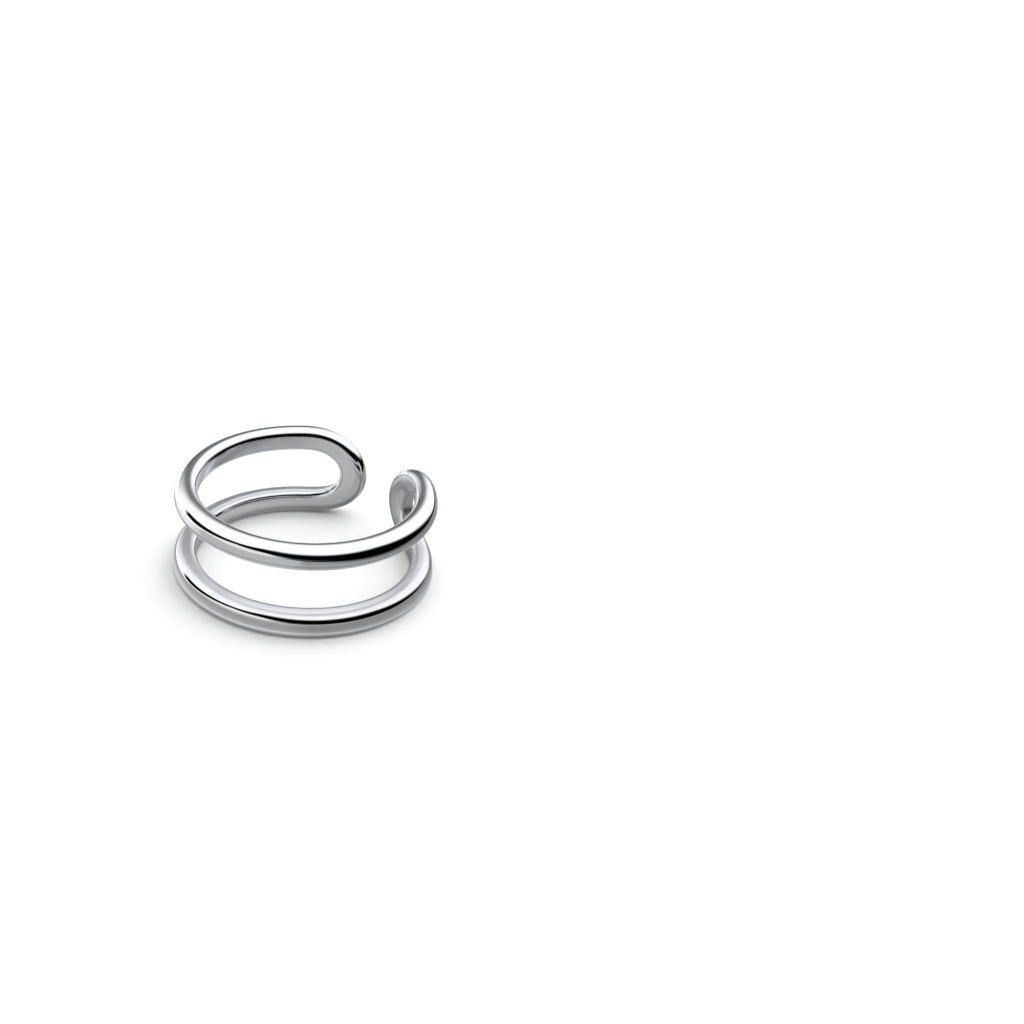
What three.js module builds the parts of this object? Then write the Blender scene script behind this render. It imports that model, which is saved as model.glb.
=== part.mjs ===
// Ear cuff: an open band that grips the edge of the ear, cast in one piece of polished silver.
// Two slim rails run round the ear side by side and turn into each other at both ends, so the
// metal is one closed loop, with a long slot between the rails and a gap between the end turns.
// It lies on its side: +Z is the band's own axis, the gap faces +Y, and z = 0 is the underside
// of the lower rail. Lengths are in millimetres.

import * as THREE from 'three';

// The inner face of the band, where the ear goes in, and the gap that slips over its edge.
const INNER_RADIUS = 4.75;
const GAP_WIDTH = 1.5;

// The two rails, from the middle of one to the middle of the other, and the bar they are made of.
const RAIL_SPACING = 3.26;
const RAIL_WIDTH = 1.14;
const UPPER_RAIL_THICKNESS = 1.01;
const LOWER_RAIL_THICKNESS = 1.13;

// How far the middle line of each end turn reaches past the rails, and the bar's thickness there.
const TURN_REACH = 1.9;
const TURN_THICKNESS = 0.92;

// Each rail's outer face falls by this much, from the edge at the slot to the band's outer edge.
const DOME_DROP = 0.09;

// The bar's rounded corners, on the outside of the band and against the ear.
const OUTER_CORNER_RADIUS = 0.42;
const INNER_CORNER_RADIUS = 0.34;

// A corner may take up most of the bar, but always leaves some flat beside it.
const MOST_OF_BAR = 0.95;

// Facets along each rail, round each end turn, and on each kind of corner.
const RAIL_STEPS = 60;
const TURN_STEPS = 18;
const OUTER_CORNER_STEPS = 4;
const INNER_CORNER_STEPS = 3;

const QUARTER_TURN = Math.PI / 2;

const polishedSilver = new THREE.MeshStandardMaterial({
  color: 0xe6e6e8,
  roughness: 0.06,
  metalness: 1,
});

// Half the straight run of a rail on the unrolled band, whose middle is the back of the cuff.
function railHalfLength() {
  const bandHalfLength = Math.PI * INNER_RADIUS - GAP_WIDTH / 2;
  return bandHalfLength - TURN_REACH - RAIL_WIDTH / 2;
}

// Middle line of the loop on the unrolled band, with x round the band and y across it:
// along the upper rail, round one end turn, back along the lower rail and round the other.
function loopCurves() {
  const end = railHalfLength();
  const side = RAIL_SPACING / 2;
  const corner = (x, y) => new THREE.Vector2(x, y);
  return [
    {
      curve: new THREE.LineCurve(corner(-end, side), corner(end, side)),
      steps: RAIL_STEPS,
    },
    {
      curve: new THREE.EllipseCurve(end, 0, TURN_REACH, side, QUARTER_TURN, -QUARTER_TURN, true),
      steps: TURN_STEPS,
    },
    {
      curve: new THREE.LineCurve(corner(end, -side), corner(-end, -side)),
      steps: RAIL_STEPS,
    },
    {
      curve: new THREE.EllipseCurve(-end, 0, TURN_REACH, side, -QUARTER_TURN, QUARTER_TURN, true),
      steps: TURN_STEPS,
    },
  ];
}

// Stations round the loop. Each has its place and the direction that leads away from the slot.
function loopStations() {
  const stations = [];
  for (const { curve, steps } of loopCurves()) {
    for (let step = 0; step < steps; step += 1) {
      const place = curve.getPoint(step / steps);
      const along = curve.getTangent(step / steps);
      const outward = new THREE.Vector2(-along.y, along.x);
      stations.push({ place, outward });
    }
  }
  return stations;
}

// Radial thickness of the bar, which changes from one rail's to the other's round an end turn.
function barThickness(place) {
  const side = THREE.MathUtils.clamp(place.y / (RAIL_SPACING / 2), -1, 1);
  const upperShare = (1 + side) / 2;
  const railThickness = THREE.MathUtils.lerp(LOWER_RAIL_THICKNESS, UPPER_RAIL_THICKNESS, upperShare);
  const tipShare = THREE.MathUtils.smoothstep(Math.sqrt(1 - side * side), 0, 1);
  return THREE.MathUtils.lerp(railThickness, TURN_THICKNESS, tipShare);
}

// One rounded corner of the section, from the angle where it starts, a quarter turn on.
function cornerArc(centreX, centreY, radius, startAngle, steps) {
  const points = [];
  for (let step = 0; step <= steps; step += 1) {
    const angle = startAngle + (QUARTER_TURN * step) / steps;
    points.push({
      across: centreX + radius * Math.cos(angle),
      height: centreY + radius * Math.sin(angle),
    });
  }
  return points;
}

// Section of the bar: across runs from the slot side to the outer side, and height runs outwards
// from the inner face. It is flat against the ear, rounded at the corners and slightly domed.
function barSection(thickness) {
  const half = RAIL_WIDTH / 2;
  const outerRadius = Math.min(OUTER_CORNER_RADIUS, MOST_OF_BAR * half, MOST_OF_BAR * thickness);
  const roomBelow = thickness - outerRadius;
  const innerRadius = Math.min(INNER_CORNER_RADIUS, MOST_OF_BAR * half, MOST_OF_BAR * roomBelow);
  const section = [
    ...cornerArc(half - innerRadius, innerRadius, innerRadius, -QUARTER_TURN, INNER_CORNER_STEPS),
    ...cornerArc(half - outerRadius, roomBelow, outerRadius, 0, OUTER_CORNER_STEPS),
    ...cornerArc(outerRadius - half, roomBelow, outerRadius, QUARTER_TURN, OUTER_CORNER_STEPS),
    ...cornerArc(innerRadius - half, innerRadius, innerRadius, 2 * QUARTER_TURN, INNER_CORNER_STEPS),
  ];
  return section.map(({ across, height }) => {
    const fall = (DOME_DROP * across) / RAIL_WIDTH;
    return { across, height: height * (1 - fall / thickness) };
  });
}

// Rolls a point of the unrolled band round the ear. The back of the cuff is towards -Y.
function rollUp(roundBand, acrossBand, height) {
  const angle = roundBand / INNER_RADIUS;
  const radius = INNER_RADIUS + height;
  return [radius * Math.sin(angle), -radius * Math.cos(angle), acrossBand];
}

// The whole cuff: the section carried round the loop, with each station joined to the next.
function cuffGeometry() {
  const stations = loopStations();
  const positions = [];
  const corners = [];
  let sectionSize = 0;
  for (const { place, outward } of stations) {
    const section = barSection(barThickness(place));
    sectionSize = section.length;
    for (const { across, height } of section) {
      const roundBand = place.x + outward.x * across;
      const acrossBand = place.y + outward.y * across;
      positions.push(...rollUp(roundBand, acrossBand, height));
    }
  }
  for (let station = 0; station < stations.length; station += 1) {
    const here = station * sectionSize;
    const next = ((station + 1) % stations.length) * sectionSize;
    for (let point = 0; point < sectionSize; point += 1) {
      const beside = (point + 1) % sectionSize;
      corners.push(here + point, here + beside, next + beside);
      corners.push(here + point, next + beside, next + point);
    }
  }
  const geometry = new THREE.BufferGeometry();
  geometry.setAttribute('position', new THREE.Float32BufferAttribute(positions, 3));
  geometry.setIndex(corners);
  return geometry;
}

// Puts the origin under the middle of the cuff, on the surface that it lies on.
function standOnOrigin(geometry) {
  geometry.computeBoundingBox();
  const { min, max } = geometry.boundingBox;
  geometry.translate(-(min.x + max.x) / 2, -(min.y + max.y) / 2, -min.z);
  geometry.computeVertexNormals();
  return geometry;
}

const cuff = new THREE.Mesh(standOnOrigin(cuffGeometry()), polishedSilver);
cuff.name = 'cuff';

const earCuff = new THREE.Group();
earCuff.add(cuff);

export default earCuff;
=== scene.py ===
# An open ear cuff of polished silver, lying on its side on a pale table.
# All lengths are in metres and all angles in degrees until a line turns them into radians.

import math

import bpy
from mathutils import Matrix, Vector


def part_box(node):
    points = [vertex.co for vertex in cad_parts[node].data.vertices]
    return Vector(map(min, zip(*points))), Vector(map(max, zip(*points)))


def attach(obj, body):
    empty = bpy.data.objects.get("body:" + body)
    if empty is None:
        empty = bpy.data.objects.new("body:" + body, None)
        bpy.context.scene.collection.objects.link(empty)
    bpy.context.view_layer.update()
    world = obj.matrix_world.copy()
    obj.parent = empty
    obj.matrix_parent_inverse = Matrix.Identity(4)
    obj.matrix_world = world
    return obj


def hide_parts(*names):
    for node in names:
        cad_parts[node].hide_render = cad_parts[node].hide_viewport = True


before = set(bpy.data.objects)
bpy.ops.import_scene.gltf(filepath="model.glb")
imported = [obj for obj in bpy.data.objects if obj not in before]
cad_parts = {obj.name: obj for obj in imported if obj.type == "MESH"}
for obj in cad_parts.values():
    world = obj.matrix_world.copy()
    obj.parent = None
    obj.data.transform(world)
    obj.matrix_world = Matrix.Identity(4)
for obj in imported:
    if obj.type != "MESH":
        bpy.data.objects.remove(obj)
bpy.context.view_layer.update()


# The camera stands in front of the cuff's closed side, a little under a third of the way up from
# the table, and looks past it to the right, so that the cuff lies left of the middle of the view.

LOW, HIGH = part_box("cuff")
OUTERMOST_RADIUS = (HIGH.x - LOW.x) / 2
RING_CENTRE = Vector((0, LOW.y + OUTERMOST_RADIUS, (LOW.z + HIGH.z) / 2))

CAMERA_AZIMUTH = 39.89
CAMERA_ELEVATION = 31.02
CAMERA_DISTANCE = 0.0918
LOOK_PAST = 6.61
LOOK_DOWN = 30.18
CAMERA_ROLL = 6.29
CAMERA_LENS = 72.3
CAMERA_NEAR = 0.001
CAMERA_FAR = 10


def direction(azimuth, elevation):
    """Unit vector towards an azimuth, 0 towards -Y and 90 towards +X, and an elevation."""
    a, e = math.radians(azimuth), math.radians(elevation)
    return Vector((math.sin(a) * math.cos(e), -math.cos(a) * math.cos(e), math.sin(e)))


camera_data = bpy.data.cameras.new("camera")
camera_data.lens = CAMERA_LENS
camera_data.clip_start = CAMERA_NEAR
camera_data.clip_end = CAMERA_FAR
camera = bpy.data.objects.new("camera", camera_data)
bpy.context.scene.collection.objects.link(camera)
camera.matrix_world = (
    Matrix.Translation(RING_CENTRE + CAMERA_DISTANCE * direction(CAMERA_AZIMUTH, CAMERA_ELEVATION))
    @ Matrix.Rotation(math.radians(CAMERA_AZIMUTH - LOOK_PAST), 4, "Z")
    @ Matrix.Rotation(math.radians(90 - LOOK_DOWN), 4, "X")
    @ Matrix.Rotation(math.radians(CAMERA_ROLL), 4, "Z")
)
bpy.context.scene.camera = camera


# The cuff. It is one bar of sterling silver, cast as a closed loop: two rails that run round the
# ear side by side and turn into each other beside the gap. The bar is flat against the ear and
# rounded outside, where it was buffed to a mirror. Inside and in the slot it is left satin.

INNER_RADIUS = 0.00475
GAP_WIDTH = 0.0015
RAIL_WIDTH = 0.00114
RAIL_SPACING = (HIGH.z - LOW.z) - RAIL_WIDTH
UPPER_RAIL_THICKNESS = 0.00101
LOWER_RAIL_THICKNESS = 0.00102
TURN_REACH = 0.0023
TURN_FULLNESS = 0.8
TURN_THICKNESS = 0.00092

# The outer faces lean out towards the table by the flare, over the bar's width. The slot sides
# lean by the taper, about a line this share of the way up from the ear.
FLARE = 0.00017
SLOT_TAPER = 0.13
TAPER_PIVOT = 0.35

UPPER_RIM_CORNER = 0.00055
LOWER_RIM_CORNER = 0.00042
RIM_INNER_CORNER = 0.00045
UPPER_SLOT_CORNER = 0.00046
LOWER_SLOT_CORNER = 0.00038
SLOT_INNER_CORNER = 0.00044
TURN_INNER_CORNER = 0.0004

STATIONS = 720
CORNER_POINTS = 14


class Field:
    """A number that a node tree works out. Arithmetic on it adds the Math nodes."""

    def __init__(self, tree, socket):
        self.tree = tree
        self.socket = socket

    def node(self, kind, *values, **settings):
        """Adds a node whose first input is this field, and gives its first output."""
        made = self.tree.nodes.new(kind)
        for name, value in settings.items():
            setattr(made, name, value)
        for slot, value in zip(made.inputs, (self, *values)):
            if isinstance(value, Field):
                self.tree.links.new(value.socket, slot)
            else:
                slot.default_value = value
        return Field(self.tree, made.outputs[0])

    def math(self, operation, *values):
        return self.node("ShaderNodeMath", *values, operation=operation)

    def __add__(self, other):
        return self.math("ADD", other)

    def __sub__(self, other):
        return self.math("SUBTRACT", other)

    def __mul__(self, other):
        return self.math("MULTIPLY", other)

    def __truediv__(self, other):
        return self.math("DIVIDE", other)

    def sin(self):
        return self.math("SINE")

    def cos(self):
        return self.math("COSINE")

    def blend(self, start, end):
        """start where this field is 0, end where it is 1, and the share between."""
        return self.step(0, 1, start, end)

    def step(self, low, high, start, end, kind="LINEAR"):
        """start up to low, end from high on, and the share between."""
        return self.node("ShaderNodeMapRange", low, high, start, end, interpolation_type=kind)


def add_node(tree, kind, **sockets):
    """Adds a node and links or sets its named sockets. Settings of the node itself start with its_."""
    made = tree.nodes.new(kind)
    for name, value in sockets.items():
        if name.startswith("its_"):
            setattr(made, name.removeprefix("its_"), value)
    for name, value in sockets.items():
        if name.startswith("its_"):
            continue
        slot = made.inputs[name.replace("_", " ")]
        if isinstance(value, Field):
            tree.links.new(value.socket, slot)
        elif isinstance(value, bpy.types.NodeSocket):
            tree.links.new(value, slot)
        else:
            slot.default_value = value
    return made


BAND_SIZES = {
    "Inner Radius": INNER_RADIUS,
    "Gap Width": GAP_WIDTH,
    "Rail Width": RAIL_WIDTH,
    "Rail Spacing": RAIL_SPACING,
    "Upper Thickness": UPPER_RAIL_THICKNESS,
    "Lower Thickness": LOWER_RAIL_THICKNESS,
    "Turn Reach": TURN_REACH,
    "Turn Fullness": TURN_FULLNESS,
    "Turn Thickness": TURN_THICKNESS,
    "Flare": FLARE,
    "Slot Taper": SLOT_TAPER,
    "Upper Rim Corner": UPPER_RIM_CORNER,
    "Lower Rim Corner": LOWER_RIM_CORNER,
    "Rim Inner Corner": RIM_INNER_CORNER,
    "Upper Slot Corner": UPPER_SLOT_CORNER,
    "Lower Slot Corner": LOWER_SLOT_CORNER,
    "Slot Inner Corner": SLOT_INNER_CORNER,
    "Turn Inner Corner": TURN_INNER_CORNER,
    "Centre Y": RING_CENTRE.y,
    "Centre Z": RING_CENTRE.z,
}


def band_tree(material):
    """The rule for the band: a section carried round the loop on the flat, then rolled up."""
    tree = bpy.data.node_groups.new("band", "GeometryNodeTree")
    tree.interface.new_socket("Geometry", in_out="OUTPUT", socket_type="NodeSocketGeometry")
    for name in BAND_SIZES:
        tree.interface.new_socket(name, in_out="INPUT", socket_type="NodeSocketFloat")
    given = tree.nodes.new("NodeGroupInput")
    size = {name: Field(tree, given.outputs[name]) for name in BAND_SIZES}

    def store(node, facts):
        for name, value in facts.items():
            node = add_node(
                tree, "GeometryNodeStoreNamedAttribute", its_data_type="FLOAT", its_domain="POINT",
                Geometry=node.outputs[0], Name=name, Value=value,
            )
        return node

    def read(name):
        found = add_node(tree, "GeometryNodeInputNamedAttribute", its_data_type="FLOAT", Name=name)
        return Field(tree, found.outputs["Attribute"])

    # Shares of the loop's stations at which the upper rail, the first turn and the lower rail end.
    upper_end, turn_end, lower_end = 1 / 3, 1 / 2, 5 / 6
    index = Field(tree, tree.nodes.new("GeometryNodeInputIndex").outputs[0])
    share = index / STATIONS
    turned = share.step(upper_end, turn_end, math.pi / 2, -math.pi / 2)
    turned = turned + share.step(lower_end, 1, 0, -math.pi)
    run = share.step(0, upper_end, -1, 1) + share.step(turn_end, lower_end, 0, -2)

    # The middle line of the loop. Its turns bend in gently where they leave the rails, because
    # their fullness is under 1, where a plain ellipse has 1.
    rail_half = size["Inner Radius"] * math.pi - size["Gap Width"] / 2
    rail_half = rail_half - size["Turn Reach"] - size["Rail Width"] / 2
    side = size["Rail Spacing"] / 2
    end_sign = turned.cos().math("SIGN")
    end_share = turned.cos().math("ABSOLUTE")
    fullness = size["Turn Fullness"]
    reached = end_sign * end_share.math("POWER", fullness) * size["Turn Reach"]
    away_x = end_sign * end_share.math("POWER", fullness * -1 + 2) * side
    away_y = turned.sin() * size["Turn Reach"] * fullness
    away_length = (away_x * away_x + away_y * away_y).math("SQRT")
    loop_facts = {
        "turned": turned,
        "place_x": rail_half * run + reached,
        "place_y": side * turned.sin(),
        "away_x": away_x / away_length,
        "away_y": away_y / away_length,
    }
    loop = add_node(tree, "GeometryNodeCurvePrimitiveCircle", Resolution=STATIONS)
    loop = store(loop, loop_facts)

    # The bar's section on the upper rail, the lower rail and the turns, with the ear's side below.
    bar_thickness = (size["Upper Thickness"] + size["Lower Thickness"]) / 2

    def section_with(rim_outer, rim_inner, slot_outer, slot_inner):
        blank = add_node(
            tree, "GeometryNodeCurvePrimitiveQuadrilateral", its_mode="RECTANGLE",
            Width=size["Rail Width"], Height=bar_thickness,
        )
        position = tree.nodes.new("GeometryNodeInputPosition")
        corner = add_node(tree, "ShaderNodeSeparateXYZ", Vector=position.outputs[0])
        is_outer = Field(tree, corner.outputs["Y"]).math("GREATER_THAN", 0)
        is_rim = Field(tree, corner.outputs["X"]).math("GREATER_THAN", 0)
        corner_radius = is_outer.blend(
            is_rim.blend(size[slot_inner], size[rim_inner]),
            is_rim.blend(size[slot_outer], size[rim_outer]),
        )
        return add_node(
            tree, "GeometryNodeFilletCurve", its_mode="POLY", Curve=blank.outputs[0],
            Count=CORNER_POINTS, Radius=corner_radius,
        )

    sections = {
        "upper": section_with(
            "Upper Rim Corner", "Rim Inner Corner", "Upper Slot Corner", "Slot Inner Corner"
        ),
        "lower": section_with(
            "Lower Rim Corner", "Rim Inner Corner", "Lower Slot Corner", "Slot Inner Corner"
        ),
        "turn": section_with(
            "Upper Rim Corner", "Turn Inner Corner", "Lower Slot Corner", "Turn Inner Corner"
        ),
    }
    position = tree.nodes.new("GeometryNodeInputPosition")
    section_facts = {}
    for name, section in sections.items():
        point = add_node(
            tree, "GeometryNodeSampleIndex", its_data_type="FLOAT_VECTOR", Geometry=section.outputs[0],
            Value=position.outputs[0], Index=index,
        )
        parts = add_node(tree, "ShaderNodeSeparateXYZ", Vector=point.outputs[0])
        section_facts[name + "_across"] = Field(tree, parts.outputs["X"])
        section_facts[name + "_height"] = Field(tree, parts.outputs["Y"]) + bar_thickness / 2
    section = store(sections["upper"], section_facts)
    bar = add_node(
        tree, "GeometryNodeCurveToMesh", Curve=loop.outputs[0], Profile_Curve=section.outputs[0]
    )

    # Each rail's own section, the slimmer turns, the taper and the flare, then the roll.
    turned_here = read("turned")
    upper_share = (turned_here.sin() + 1) / 2
    thickness = upper_share.blend(size["Lower Thickness"], size["Upper Thickness"])
    tip_share = turned_here.cos().math("ABSOLUTE").step(0, 1, 0, 1, "SMOOTHSTEP")
    thickness = tip_share.blend(thickness, size["Turn Thickness"])
    across = upper_share.blend(read("lower_across"), read("upper_across"))
    across = tip_share.blend(across, read("turn_across"))
    height = upper_share.blend(read("lower_height"), read("upper_height"))
    height = tip_share.blend(height, read("turn_height"))
    share_across = across / size["Rail Width"]
    taper = (height - bar_thickness * TAPER_PIVOT) * size["Slot Taper"]
    across = across + share_across.step(-0.5, 0.5, 1, 0) * taper
    fall = size["Flare"] * share_across * turned_here.sin()
    height = height * (thickness - fall) / bar_thickness
    angle = (read("place_x") + read("away_x") * across) / size["Inner Radius"]
    radius = size["Inner Radius"] + height
    rolled = add_node(
        tree, "ShaderNodeCombineXYZ",
        X=radius * angle.sin(),
        Y=size["Centre Y"] - radius * angle.cos(),
        Z=size["Centre Z"] + read("place_y") + read("away_y") * across,
    )
    band = add_node(
        tree, "GeometryNodeSetPosition", Geometry=bar.outputs[0], Position=rolled.outputs[0]
    )
    band = add_node(tree, "GeometryNodeSetShadeSmooth", Geometry=band.outputs[0])
    band = add_node(tree, "GeometryNodeRealizeInstances", Geometry=band.outputs[0])
    band = add_node(tree, "GeometryNodeSetMaterial", Geometry=band.outputs[0], Material=material)
    tree.links.new(band.outputs[0], tree.nodes.new("NodeGroupOutput").inputs[0])
    return tree


def plain_mesh_from(tree, name, sizes):
    """A plain mesh object from what the tree makes with these sizes."""
    holder = bpy.data.objects.new(name, bpy.data.meshes.new(name))
    bpy.context.scene.collection.objects.link(holder)
    modifier = holder.modifiers.new(name, "NODES")
    modifier.node_group = tree
    for item in tree.interface.items_tree:
        if item.in_out == "INPUT":
            modifier[item.identifier] = sizes[item.name]
    evaluated = holder.evaluated_get(bpy.context.evaluated_depsgraph_get())
    made = bpy.data.meshes.new_from_object(evaluated)
    holder.modifiers.remove(modifier)
    holder.data = made
    return holder


SILVER_COLOUR = (0.905, 0.92, 0.945, 1)
DULL_SILVER_COLOUR = (0.83, 0.85, 0.88, 1)
SILVER_ROUGHNESS = 0.018
DULL_SILVER_ROUGHNESS = 0.06
INSIDE_ROUGHNESS = 0.22
SLOT_ROUGHNESS = 0.36
WAVES_PER_METRE = 750
WAVE_HEIGHT = 0.0000012
CLOUDS_PER_METRE = 1275
CLOUD_DULLNESS = 0.7
BUFF_MARKS_PER_METRE = 30000
BUFF_MARK_STRETCH = 0.03
BUFF_MARK_HEIGHT = 0.00000002
BUFF_MARK_DULLNESS = 0.3
PITS_PER_METRE = 1400
PIT_RADIUS = 0.00003
PIT_DEPTH = 0.000004
SHARE_WITHOUT_PIT = 0.97

# The noise at which clouds and buffing marks begin to dull the silver, and where they do fully.
CLOUD_EDGE = (0.48, 0.72)
BUFF_MARK_EDGE = (0.55, 0.8)

# Where satin gives way to polish: by the radius, just outside the face against the ear, and by
# the place across the bar, near the slot's side, in shares of the bar's width from its middle.
INSIDE_EDGE = (INNER_RADIUS + 0.00001, INNER_RADIUS + 0.00008)
SLOT_EDGE = (-0.44, -0.34)


def noise(tree, vector, scale, detail=2, roughness=0.5):
    """Noise between about 0.2 and 0.8 that changes this many times over a metre of the vector."""
    made = add_node(
        tree, "ShaderNodeTexNoise", Vector=vector, Scale=scale, Detail=detail, Roughness=roughness
    )
    return Field(tree, made.outputs[0])


silver = bpy.data.materials.new("polished_silver")
silver.use_nodes = True
metal = silver.node_tree
shader = metal.nodes["Principled BSDF"]
shader.inputs["Metallic"].default_value = 1
place = metal.nodes.new("ShaderNodeTexCoord").outputs["Object"]

# Buffing marks run round the ear with the rails: long along the ring and fine across it.
parts = add_node(metal, "ShaderNodeSeparateXYZ", Vector=place)
x, y, z = (Field(metal, parts.outputs[axis]) for axis in "XYZ")
y = y - RING_CENTRE.y
out = (x * x + y * y).math("SQRT")
round_ring = x.math("ARCTAN2", y) * (OUTERMOST_RADIUS * BUFF_MARK_STRETCH)
ring_place = add_node(metal, "ShaderNodeCombineXYZ", X=round_ring, Y=out, Z=z).outputs[0]
marks = noise(metal, ring_place, BUFF_MARKS_PER_METRE, detail=3)

# Tumbling and handling leave slow waves, faint dull clouds and a few tiny pits in the polish.
waves = noise(metal, place, WAVES_PER_METRE, detail=1)
clouds = noise(metal, place, CLOUDS_PER_METRE, detail=4, roughness=0.6)
cloud_dullness = clouds.step(*CLOUD_EDGE, 0, CLOUD_DULLNESS)
mark_dullness = marks.step(*BUFF_MARK_EDGE, 0, BUFF_MARK_DULLNESS)
dullness = (cloud_dullness + mark_dullness).step(0, 1, 0, 1)
pit_cells = add_node(metal, "ShaderNodeTexVoronoi", Vector=place, Scale=PITS_PER_METRE)
from_pit = Field(metal, pit_cells.outputs["Distance"]) / PITS_PER_METRE
pit_tint = add_node(metal, "ShaderNodeSeparateColor", Color=pit_cells.outputs["Color"])
is_pit = Field(metal, pit_tint.outputs[0]).math("GREATER_THAN", SHARE_WITHOUT_PIT)
pit = is_pit * from_pit.step(0, PIT_RADIUS, 1, 0, "SMOOTHSTEP")
relief = waves * WAVE_HEIGHT + marks * BUFF_MARK_HEIGHT - pit * PIT_DEPTH
bump = add_node(metal, "ShaderNodeBump", Height=relief, Distance=1, Strength=1)
metal.links.new(bump.outputs[0], shader.inputs["Normal"])
tint = add_node(metal, "ShaderNodeValToRGB", Fac=dullness)
tint.color_ramp.elements[0].color = SILVER_COLOUR
tint.color_ramp.elements[1].color = DULL_SILVER_COLOUR
metal.links.new(tint.outputs[0], shader.inputs["Base Color"])

# The face against the ear and the sides of the slot, which a buff doesn't reach, are left satin.
roughness = dullness.blend(SILVER_ROUGHNESS, DULL_SILVER_ROUGHNESS)
roughness = out.step(*INSIDE_EDGE, 1, 0).blend(roughness, INSIDE_ROUGHNESS)
across_bar = add_node(metal, "ShaderNodeAttribute", its_attribute_name="upper_across")
across_bar = Field(metal, across_bar.outputs["Fac"]) / RAIL_WIDTH
roughness = across_bar.step(*SLOT_EDGE, 1, 0).blend(roughness, SLOT_ROUGHNESS)
metal.links.new(roughness.socket, shader.inputs["Roughness"])

cuff = plain_mesh_from(band_tree(silver), "polished_cuff", BAND_SIZES)
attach(cuff, "root")
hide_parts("cuff")


# The table: a sheet of white paper, which the light fills until it is as bright as the white wall
# round it.
# The metal sees the paper less bright than the camera does, so a glowing sheet for the reflections
# alone lies over it, with painted light and shade: darker on the right, brighter at the back and far
# left. The wall is there for the camera alone.

PAPER_HALF_WIDTH = 0.6
PAPER_COLOUR = (0.93, 0.93, 0.93, 1)
REFLECTED_FAR_LEFT = 0.9
REFLECTED_LEFT = 0.5
REFLECTED_RIGHT = 0.38
REFLECTED_FAR_RIGHT = 0.22
REFLECTED_BACK = 1.5
# Brightness of the painted shade round the cuff, the painted shade under the lower rail and the
# painted light along its rim.
REFLECTED_SHADE = 0.7
REFLECTED_UNDER_RAIL_SHADE = 0.5
REFLECTED_RIM_LIGHT = 1.35
CARD_LIGHT = 0.001
REFLECTED_FRONT_RIGHT = 0.6
REFLECTED_PAPER_LIFT = 0.00002
WALL_HEIGHT = 0.8
WALL_SIDES = 64

# Where the reflected paper's brightness changes, between two distances from the stage's middle,
# to the camera's right or towards the camera.
MIDDLE_EDGE = (-0.0012, 0.0008)
FAR_LEFT_EDGE = (-0.0115, -0.009)
FAR_LEFT_FRONT = (-0.001, 0.003)
FAR_RIGHT_EDGE = (0.006, 0.014)
BACK_EDGE = (-0.009, -0.006)
FRONT_EDGE = (0.012, 0.035)

# Soft rings round the stage's middle on the reflected paper: the cuff's painted shade, painted shade
# under the lower rail, and painted light along its rim. Each has the radius where it begins,
# is full, begins to fade and ends.
SHADE_RING = (0.006, 0.0072, 0.0078, 0.0105)
UNDER_RAIL_SHADE_RING = (0.0040, 0.0047, 0.0054, 0.0058)
RIM_LIGHT_RING = (0.0057, 0.0059, 0.0061, 0.0066)

# The black card stands on the right, past an edge that comes nearer towards the camera.
CARD_EDGE = (0.015, 0.02)
CARD_SLANT = 0.3


def staged(name, points, faces):
    """A mesh object on the stage with a material of its own, and that material's node tree."""
    mesh = bpy.data.meshes.new(name)
    mesh.from_pydata(points, [], faces)
    made = bpy.data.objects.new(name, mesh)
    bpy.context.scene.collection.objects.link(made)
    material = bpy.data.materials.new(name)
    material.use_nodes = True
    made.data.materials.append(material)
    return made, material.node_tree


def flat_sheet(name, half_width, height):
    """A square sheet on the stage, centred under the cuff."""
    signs = ((-1, -1), (1, -1), (1, 1), (-1, 1))
    points = [(x * half_width, y * half_width, height) for x, y in signs]
    return staged(name, points, [(0, 1, 2, 3)])


def light_up(tree, glow):
    """Makes a material shine with a brightness or a colour, and nothing else."""
    shine = add_node(tree, "ShaderNodeEmission", Color=glow)
    tree.links.new(shine.outputs[0], tree.nodes["Material Output"].inputs["Surface"])


def seen_only_by(thing, camera=False, glossy=False):
    """Hides a thing on the stage from every kind of ray but these."""
    thing.visible_camera = camera
    thing.visible_glossy = glossy
    thing.visible_diffuse = False
    thing.visible_shadow = False
    thing.visible_transmission = False


def camera_sides(tree, vector):
    """How far a vector reaches towards the camera, level, and to the camera's right."""
    parts = add_node(tree, "ShaderNodeSeparateXYZ", Vector=vector)
    x, y = Field(tree, parts.outputs["X"]), Field(tree, parts.outputs["Y"])
    front, right = direction(CAMERA_AZIMUTH, 0), direction(CAMERA_AZIMUTH + 90, 0)
    return x * front.x + y * front.y, x * right.x + y * right.y


def within(distance, begins, full, fades, ends):
    """1 between full and fades, 0 outside begins and ends, and the share between."""
    return distance.step(begins, full, 0, 1) * distance.step(fades, ends, 1, 0)


paper, paper_tree = flat_sheet("paper", PAPER_HALF_WIDTH, 0)
paper_shader = paper_tree.nodes["Principled BSDF"]
paper_shader.inputs["Base Color"].default_value = PAPER_COLOUR
paper_shader.inputs["Roughness"].default_value = 1
paper_shader.inputs["Specular IOR Level"].default_value = 0
paper.visible_glossy = False

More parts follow.
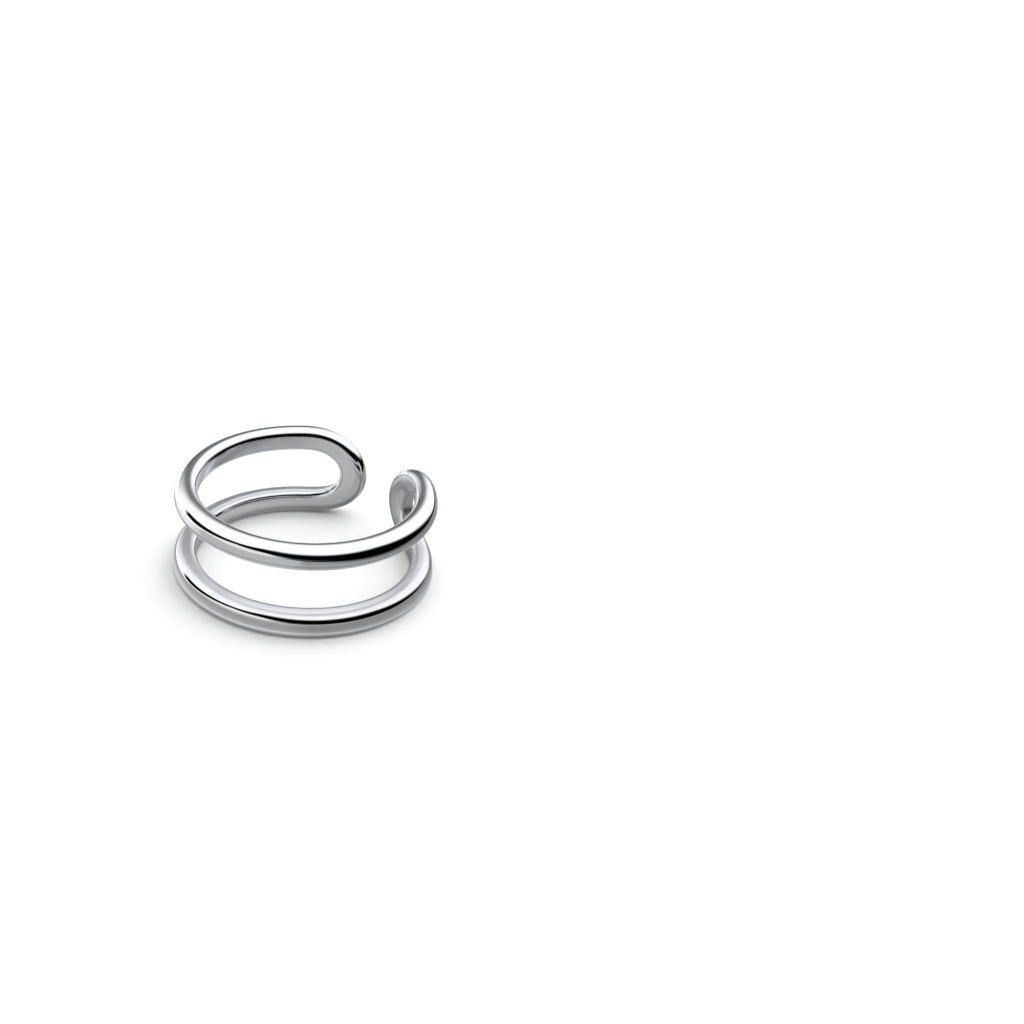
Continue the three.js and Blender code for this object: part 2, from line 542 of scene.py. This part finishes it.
reflected, reflected_tree = flat_sheet("reflected_paper", PAPER_HALF_WIDTH, REFLECTED_PAPER_LIFT)
place = reflected_tree.nodes.new("ShaderNodeTexCoord").outputs["Object"]
to_front, to_right = camera_sides(reflected_tree, place)
# Painted light and shade on the glowing sheet: brighter on the left and at the back, darker on the
# right and at the front right.
on_left = to_right.step(*MIDDLE_EDGE, 1, 0)
beside = to_right.step(*FAR_LEFT_EDGE, 1, 0) * to_front.step(*FAR_LEFT_FRONT, 1, 0)
glow = to_right.step(*FAR_RIGHT_EDGE, REFLECTED_RIGHT, REFLECTED_FAR_RIGHT)
glow = on_left.blend(glow, beside.blend(REFLECTED_LEFT, REFLECTED_FAR_LEFT))
glow = glow * to_front.step(*BACK_EDGE, REFLECTED_BACK, 1)
glow = glow * to_front.step(*FRONT_EDGE, 1, on_left.blend(REFLECTED_FRONT_RIGHT, 1))
from_centre = (to_front * to_front + to_right * to_right).math("SQRT")
# Painted shade round the cuff and under its lower rail, and painted light along its rim.
glow = glow * within(from_centre, *SHADE_RING).blend(1, REFLECTED_SHADE)
glow = glow * within(from_centre, *UNDER_RAIL_SHADE_RING).blend(1, REFLECTED_UNDER_RAIL_SHADE)
glow = glow * within(from_centre, *RIM_LIGHT_RING).blend(1, REFLECTED_RIM_LIGHT)
to_card = to_right + to_front * CARD_SLANT
glow = to_card.step(*CARD_EDGE, 0, 1).blend(glow, CARD_LIGHT)
light_up(reflected_tree, glow)
seen_only_by(reflected, glossy=True)

ways = [direction(360 * side / WALL_SIDES, 0) * PAPER_HALF_WIDTH for side in range(WALL_SIDES)]
wall_foot = [(way.x, way.y, 0) for way in ways]
wall_head = [(way.x, way.y, WALL_HEIGHT) for way in ways]
sides = [(side, (side + 1) % WALL_SIDES) for side in range(WALL_SIDES)]
wall_faces = [(i + WALL_SIDES, j + WALL_SIDES, j, i) for i, j in sides]
wall, wall_tree = staged("wall", wall_foot + wall_head, wall_faces)
light_up(wall_tree, (1, 1, 1, 1))
seen_only_by(wall, camera=True)


# The light is a white tent over the table, brightest overhead. A black card stands in it before
# the cuff, high on the left and low on the right, and the foot of its far side is in the shade. A
# broad soft lamp behind the cuff, on the right, casts its shadow, and the metal doesn't see it.
# Azimuths here are from the camera's own side, 0 towards it and 90 to its right.

TENT_TOP = 1.2
TENT_WALL = 1.08
TENT_BACK = 0.22
TENT_BACK_FOOT = 0.1
UNDER_CARD_LEFT = 0.85
UNDER_CARD_RIGHT = 0.14
LAMP_STRENGTH = 1.5
LAMP_SPREAD = 90
LAMP_AZIMUTH = 125
LAMP_ELEVATION = 62

# The tent's top and its dim back begin and end between two elevations or azimuths.
TOP_EDGE = (55, 80)
BACK_RIGHT_EDGE = (158, 177)
BACK_LEFT_EDGE = (-162, -135)
BACK_TOP_EDGE = (34, 50)
BACK_FOOT_EDGE = (2, 32)

# The card's head and foot, each a line through corners with an azimuth and an elevation.
CARD_SPAN = (-120, -114, 126, 134)
CARD_HEAD = ((-118, 13), (-40, 43), (-30, 43), (70, 30), (128, -4))
CARD_FOOT = ((-118, -9), (-60, 22), (-35, 22), (60, -13))

# How many degrees the card's edges take to fade, from the left to the right of two azimuths.
HEAD_FADE_AZIMUTHS = (-60, -30)
HEAD_FADES = (3, 13)
HEAD_FADE_POWER = 1.4
FOOT_FADE_AZIMUTHS = (-30, -8)
FOOT_FADES = (2, 12)
FOOT_FADE_INWARDS = 2


def line_through(angle, corners):
    """The height at an angle of a line through corners, level before the first and past the last."""
    height = corners[0][1]
    for (start, low), (end, high) in zip(corners, corners[1:]):
        height = angle.step(start, end, 0, high - low) + height
    return height


world = bpy.data.worlds.new("studio")
world.use_nodes = True
bpy.context.scene.world = world
tent = world.node_tree
way = tent.nodes.new("ShaderNodeTexCoord").outputs["Generated"]
to_front, to_right = camera_sides(tent, way)
azimuth = to_right.math("ARCTAN2", to_front) * math.degrees(1)
height_parts = add_node(tent, "ShaderNodeSeparateXYZ", Vector=way)
elevation = Field(tent, height_parts.outputs["Z"]).math("ARCSINE") * math.degrees(1)

light = elevation.step(*TOP_EDGE, TENT_WALL, TENT_TOP)
in_back = azimuth.step(*BACK_RIGHT_EDGE, 0, 1) + azimuth.step(*BACK_LEFT_EDGE, 1, 0)
in_back = in_back * elevation.step(*BACK_TOP_EDGE, 1, 0)
light = in_back.blend(light, elevation.step(*BACK_FOOT_EDGE, TENT_BACK_FOOT, TENT_BACK))

card_head = line_through(azimuth, CARD_HEAD)
head_fade = azimuth.step(*HEAD_FADE_AZIMUTHS, *HEAD_FADES)
above_card = elevation.step(card_head, card_head + head_fade, 0, 1).math("POWER", HEAD_FADE_POWER)
card_foot = line_through(azimuth, CARD_FOOT)
foot_fade = azimuth.step(*FOOT_FADE_AZIMUTHS, *FOOT_FADES)
above_foot = elevation.step(card_foot - foot_fade, card_foot + FOOT_FADE_INWARDS, 0, 1)
under_card = azimuth.step(*FOOT_FADE_AZIMUTHS, UNDER_CARD_LEFT, UNDER_CARD_RIGHT)
below_head = above_foot.blend(under_card, CARD_LIGHT)
light = within(azimuth, *CARD_SPAN).blend(light, above_card.blend(below_head, light))
tent.links.new(light.socket, tent.nodes["Background"].inputs["Color"])

lamp_data = bpy.data.lights.new("lamp", "SUN")
lamp_data.energy = LAMP_STRENGTH
lamp_data.angle = math.radians(LAMP_SPREAD)
lamp = bpy.data.objects.new("lamp", lamp_data)
bpy.context.scene.collection.objects.link(lamp)
lamp_way = direction(CAMERA_AZIMUTH + LAMP_AZIMUTH, LAMP_ELEVATION)
lamp.rotation_euler = lamp_way.to_track_quat("Z", "Y").to_euler()
lamp.visible_glossy = False
bpy.context.scene.view_settings.view_transform = "Standard"
